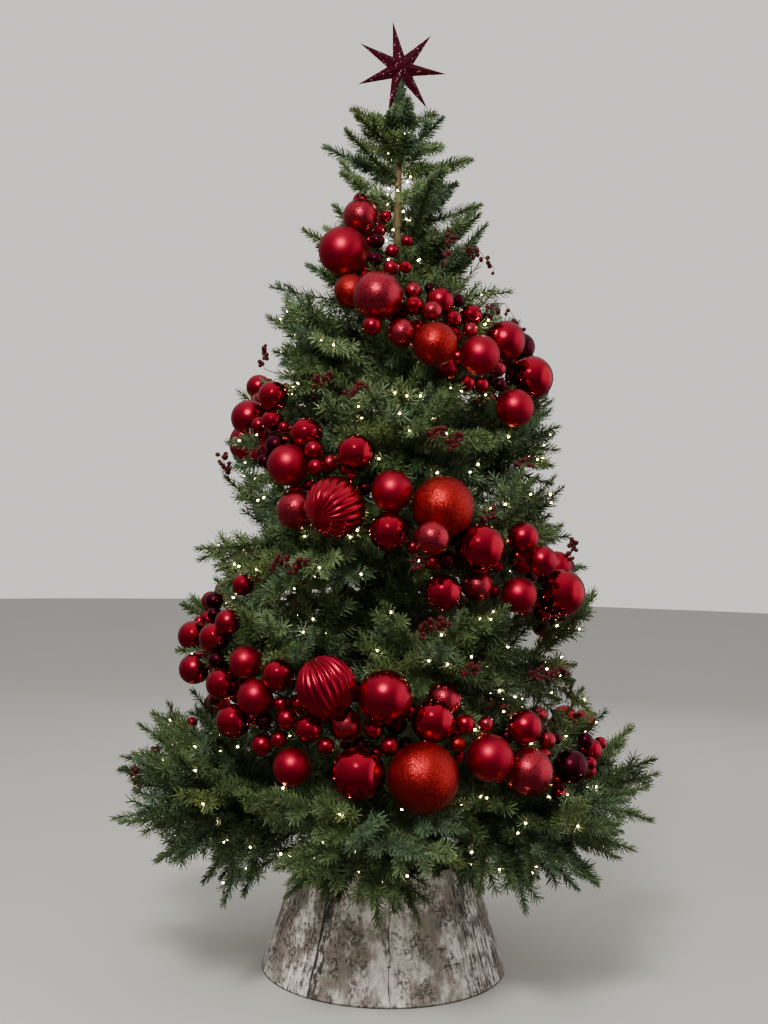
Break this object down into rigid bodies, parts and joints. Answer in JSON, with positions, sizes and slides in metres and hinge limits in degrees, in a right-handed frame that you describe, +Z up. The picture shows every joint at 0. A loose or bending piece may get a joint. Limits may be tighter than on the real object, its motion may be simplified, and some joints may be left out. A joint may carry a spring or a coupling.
{
  "type": "artificial christmas tree",
  "caption": "Artificial Christmas tree with tiered boughs of moulded needles and a folded paper star, on a steel stand inside a tapered birch-bark collar.",
  "frame": {"origin": "the middle of the stand's flat foot, on the floor under the pole", "axes": "+Z up along the pole, -Y towards the front, the side the picture shows"},
  "size_m": [1.3176, 1.2916, 2.2129],
  "materials": {
    "needles": "moulded plastic needles, satin",
    "bough": "steel wire wrapped in brown plastic tape",
    "pole": "powder coat, olive brown",
    "collar": "thin board with a birch-bark print",
    "stand": "powder coat, near black",
    "star": "folded card, matt"
  },
  "bodies": {
    "root": {"bough_lowest_1": "bough", "bough_lowest_2": "bough", "bough_lowest_3": "bough", "bough_lowest_4": "bough", "bough_lowest_5": "bough", "bough_lowest_6": "bough", "bough_lowest_7": "bough", "bough_second_1": "bough", "bough_second_2": "bough", "bough_second_3": "bough", "bough_second_4": "bough", "bough_second_5": "bough", "bough_second_6": "bough", "bough_third_1": "bough", "bough_third_2": "bough", "bough_third_3": "bough", "bough_third_4": "bough", "bough_third_5": "bough", "collar": "collar", "foliage_fifth_1": "needles", "foliage_fifth_2": "needles", "foliage_fifth_3": "needles", "foliage_fifth_4": "needles", "foliage_fourth_1": "needles", "foliage_fourth_2": "needles", "foliage_fourth_3": "needles", "foliage_fourth_4": "needles", "foliage_fourth_5": "needles", "foliage_lowest_1": "needles", "foliage_lowest_2": "needles", "foliage_lowest_3": "needles", "foliage_lowest_4": "needles", "foliage_lowest_5": "needles", "foliage_lowest_6": "needles", "foliage_lowest_7": "needles", "foliage_second_1": "needles", "foliage_second_2": "needles", "foliage_second_3": "needles", "foliage_second_4": "needles", "foliage_second_5": "needles", "foliage_second_6": "needles", "foliage_third_1": "needles", "foliage_third_2": "needles", "foliage_third_3": "needles", "foliage_third_4": "needles", "foliage_third_5": "needles", "foliage_whorl_1": "needles", "foliage_whorl_2": "needles", "foliage_whorl_3": "needles", "foliage_whorl_4": "needles", "foliage_whorl_5": "needles", "foliage_whorl_6": "needles", "foliage_whorl_7": "needles", "foliage_whorl_8": "needles", "stand": "stand", "star": "star", "trunk": "pole"}
  },
  "joints": []
}
